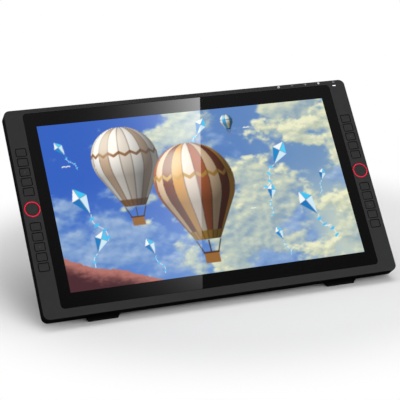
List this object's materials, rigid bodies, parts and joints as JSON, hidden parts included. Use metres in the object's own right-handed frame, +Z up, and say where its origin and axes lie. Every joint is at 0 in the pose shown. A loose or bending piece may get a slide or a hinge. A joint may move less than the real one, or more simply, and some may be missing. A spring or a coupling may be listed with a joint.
{
  "type": "pen display",
  "caption": "Pen display with a column of keys and a dial on each side, leaned back on two feet and a folding leg.",
  "frame": {"origin": "centre of the bounding box's bottom, on the desk top", "axes": "+X to the display's right as the user sees it, +Y away from the user, +Z up"},
  "size_m": [0.5702, 0.2946, 0.2733],
  "materials": {
    "frame_plastic": "fine sparked texture",
    "cover_glass": "etched glass with a black printed border",
    "foam_tape": "foam",
    "lcd_panel": "polarised glass cell",
    "light_guide": "clear acrylic under white films",
    "tray_metal": "folded sheet",
    "sensor_board": "laminated board",
    "shield_steel": "plated sheet",
    "circuit_board": "solder mask",
    "socket_metal": "plated shell",
    "jack_plastic": "moulded",
    "light_bar": "clear, lit white",
    "cover_plastic": "fine sparked texture",
    "screw_steel": "blackened",
    "foot_plastic": "fine sparked texture",
    "pad_rubber": "moulded rubber",
    "cast_alloy": "cast and powder coated",
    "lid_plastic": "fine sparked texture",
    "hinge_steel": "ground",
    "spring_steel": "spring wire",
    "lever_plastic": "satin",
    "key_plastic": "satin",
    "dial_plastic": "satin",
    "anodised_ring": "anodised crimson, polished",
    "button_plastic": "satin"
  },
  "bodies": {
    "display": {"front_frame": "frame_plastic", "cover_glass": "cover_glass", "glass_tape": "foam_tape", "lcd_panel": "lcd_panel", "light_guide": "light_guide", "backlight_tray": "tray_metal", "digitizer_board": "sensor_board", "shield_plate": "shield_steel", "main_board": "circuit_board", "hdmi_socket": "socket_metal", "usb_sockets": "socket_metal", "power_jack": "jack_plastic", "key_board_left": "circuit_board", "key_board_right": "circuit_board", "button_board": "circuit_board", "power_light": "light_bar", "rear_cover": "cover_plastic", "case_screws": "screw_steel", "front_feet": "foot_plastic", "front_foot_pads": "pad_rubber", "stand_bracket": "cast_alloy", "stand_lid": "lid_plastic", "stand_screws": "screw_steel", "hinge_clutches": "hinge_steel", "lever_pin": "hinge_steel", "lever_springs": "spring_steel"},
    "leg": {"stand_leg": "cast_alloy", "leg_pads": "pad_rubber", "hinge_pins": "hinge_steel"},
    "lever": {"release_lever": "lever_plastic"},
    "yoke": {"lock_yoke": "hinge_steel"},
    "key_left_1": {"key_left_1": "key_plastic"},
    "key_left_2": {"key_left_2": "key_plastic"},
    "key_left_3": {"key_left_3": "key_plastic"},
    "key_left_4": {"key_left_4": "key_plastic"},
    "key_left_5": {"key_left_5": "key_plastic"},
    "key_left_6": {"key_left_6": "key_plastic"},
    "key_left_7": {"key_left_7": "key_plastic"},
    "key_left_8": {"key_left_8": "key_plastic"},
    "key_left_9": {"key_left_9": "key_plastic"},
    "key_left_10": {"key_left_10": "key_plastic"},
    "key_right_1": {"key_right_1": "key_plastic"},
    "key_right_2": {"key_right_2": "key_plastic"},
    "key_right_3": {"key_right_3": "key_plastic"},
    "key_right_4": {"key_right_4": "key_plastic"},
    "key_right_5": {"key_right_5": "key_plastic"},
    "key_right_6": {"key_right_6": "key_plastic"},
    "key_right_7": {"key_right_7": "key_plastic"},
    "key_right_8": {"key_right_8": "key_plastic"},
    "key_right_9": {"key_right_9": "key_plastic"},
    "key_right_10": {"key_right_10": "key_plastic"},
    "dial_left": {"dial_left": "dial_plastic", "dial_ring_left": "anodised_ring"},
    "dial_right": {"dial_right": "dial_plastic", "dial_ring_right": "anodised_ring"},
    "menu_button": {"menu_button": "button_plastic"},
    "minus_button": {"minus_button": "button_plastic"},
    "plus_button": {"plus_button": "button_plastic"},
    "light_button": {"light_button": "button_plastic"},
    "power_button": {"power_button": "button_plastic"}
  },
  "joints": [
    {"name": "leg_hinge", "type": "hinge", "parent": "display", "child": "leg", "pos_m": [0, -0.04994, 0.07686], "axis": [-1, 0, 0], "range_deg": [-69.9, 35]},
    {"name": "lever_hinge", "type": "hinge", "parent": "display", "child": "lever", "pos_m": [0, 0.04235, 0.19261], "axis": [1, 0, 0], "range_deg": [0, 8.5], "deforming": ["lever_springs"]},
    {"name": "yoke_slide", "type": "slide", "parent": "display", "child": "yoke", "axis": [0, 0.6428, 0.766], "range_m": [0, 0.00069], "stiffness_N_per_m": 4000, "springref_m": -0.0002},
    {"name": "press_key_left_1", "type": "slide", "parent": "display", "child": "key_left_1", "axis": [0, 0.766, -0.6428], "range_m": [0, 0.0006], "stiffness_N_per_m": 800, "springref_m": -0.00005},
    {"name": "press_key_left_2", "type": "slide", "parent": "display", "child": "key_left_2", "axis": [0, 0.766, -0.6428], "range_m": [0, 0.0006], "stiffness_N_per_m": 800, "springref_m": -0.00005},
    {"name": "press_key_left_3", "type": "slide", "parent": "display", "child": "key_left_3", "axis": [0, 0.766, -0.6428], "range_m": [0, 0.0006], "stiffness_N_per_m": 800, "springref_m": -0.00005},
    {"name": "press_key_left_4", "type": "slide", "parent": "display", "child": "key_left_4", "axis": [0, 0.766, -0.6428], "range_m": [0, 0.0006], "stiffness_N_per_m": 800, "springref_m": -0.00005},
    {"name": "press_key_left_5", "type": "slide", "parent": "display", "child": "key_left_5", "axis": [0, 0.766, -0.6428], "range_m": [0, 0.0006], "stiffness_N_per_m": 800, "springref_m": -0.00005},
    {"name": "press_key_left_6", "type": "slide", "parent": "display", "child": "key_left_6", "axis": [0, 0.766, -0.6428], "range_m": [0, 0.0006], "stiffness_N_per_m": 800, "springref_m": -0.00005},
    {"name": "press_key_left_7", "type": "slide", "parent": "display", "child": "key_left_7", "axis": [0, 0.766, -0.6428], "range_m": [0, 0.0006], "stiffness_N_per_m": 800, "springref_m": -0.00005},
    {"name": "press_key_left_8", "type": "slide", "parent": "display", "child": "key_left_8", "axis": [0, 0.766, -0.6428], "range_m": [0, 0.0006], "stiffness_N_per_m": 800, "springref_m": -0.00005},
    {"name": "press_key_left_9", "type": "slide", "parent": "display", "child": "key_left_9", "axis": [0, 0.766, -0.6428], "range_m": [0, 0.0006], "stiffness_N_per_m": 800, "springref_m": -0.00005},
    {"name": "press_key_left_10", "type": "slide", "parent": "display", "child": "key_left_10", "axis": [0, 0.766, -0.6428], "range_m": [0, 0.0006], "stiffness_N_per_m": 800, "springref_m": -0.00005},
    {"name": "press_key_right_1", "type": "slide", "parent": "display", "child": "key_right_1", "axis": [0, 0.766, -0.6428], "range_m": [0, 0.0006], "stiffness_N_per_m": 800, "springref_m": -0.00005},
    {"name": "press_key_right_2", "type": "slide", "parent": "display", "child": "key_right_2", "axis": [0, 0.766, -0.6428], "range_m": [0, 0.0006], "stiffness_N_per_m": 800, "springref_m": -0.00005},
    {"name": "press_key_right_3", "type": "slide", "parent": "display", "child": "key_right_3", "axis": [0, 0.766, -0.6428], "range_m": [0, 0.0006], "stiffness_N_per_m": 800, "springref_m": -0.00005},
    {"name": "press_key_right_4", "type": "slide", "parent": "display", "child": "key_right_4", "axis": [0, 0.766, -0.6428], "range_m": [0, 0.0006], "stiffness_N_per_m": 800, "springref_m": -0.00005},
    {"name": "press_key_right_5", "type": "slide", "parent": "display", "child": "key_right_5", "axis": [0, 0.766, -0.6428], "range_m": [0, 0.0006], "stiffness_N_per_m": 800, "springref_m": -0.00005},
    {"name": "press_key_right_6", "type": "slide", "parent": "display", "child": "key_right_6", "axis": [0, 0.766, -0.6428], "range_m": [0, 0.0006], "stiffness_N_per_m": 800, "springref_m": -0.00005},
    {"name": "press_key_right_7", "type": "slide", "parent": "display", "child": "key_right_7", "axis": [0, 0.766, -0.6428], "range_m": [0, 0.0006], "stiffness_N_per_m": 800, "springref_m": -0.00005},
    {"name": "press_key_right_8", "type": "slide", "parent": "display", "child": "key_right_8", "axis": [0, 0.766, -0.6428], "range_m": [0, 0.0006], "stiffness_N_per_m": 800, "springref_m": -0.00005},
    {"name": "press_key_right_9", "type": "slide", "parent": "display", "child": "key_right_9", "axis": [0, 0.766, -0.6428], "range_m": [0, 0.0006], "stiffness_N_per_m": 800, "springref_m": -0.00005},
    {"name": "press_key_right_10", "type": "slide", "parent": "display", "child": "key_right_10", "axis": [0, 0.766, -0.6428], "range_m": [0, 0.0006], "stiffness_N_per_m": 800, "springref_m": -0.00005},
    {"name": "turn_dial_left", "type": "hinge", "parent": "display", "child": "dial_left", "pos_m": [-0.27, -0.03479, 0.14782], "axis": [0, -0.766, 0.6428], "continuous": true},
    {"name": "turn_dial_right", "type": "hinge", "parent": "display", "child": "dial_right", "pos_m": [0.27, -0.03479, 0.14782], "axis": [0, -0.766, 0.6428], "continuous": true},
    {"name": "press_menu_button", "type": "slide", "parent": "display", "child": "menu_button", "axis": [0, -0.6428, -0.766], "range_m": [0, 0.0005], "stiffness_N_per_m": 800, "springref_m": -0.00005},
    {"name": "press_minus_button", "type": "slide", "parent": "display", "child": "minus_button", "axis": [0, -0.6428, -0.766], "range_m": [0, 0.0005], "stiffness_N_per_m": 800, "springref_m": -0.00005},
    {"name": "press_plus_button", "type": "slide", "parent": "display", "child": "plus_button", "axis": [0, -0.6428, -0.766], "range_m": [0, 0.0005], "stiffness_N_per_m": 800, "springref_m": -0.00005},
    {"name": "press_light_button", "type": "slide", "parent": "display", "child": "light_button", "axis": [0, -0.6428, -0.766], "range_m": [0, 0.0005], "stiffness_N_per_m": 800, "springref_m": -0.00005},
    {"name": "press_power_button", "type": "slide", "parent": "display", "child": "power_button", "axis": [0, -0.6428, -0.766], "range_m": [0, 0.0005], "stiffness_N_per_m": 800, "springref_m": -0.00005}
  ],
  "couplings": [
    {"joint": "lever_hinge", "follows": "yoke_slide", "rad_per_m": 200}
  ]
}
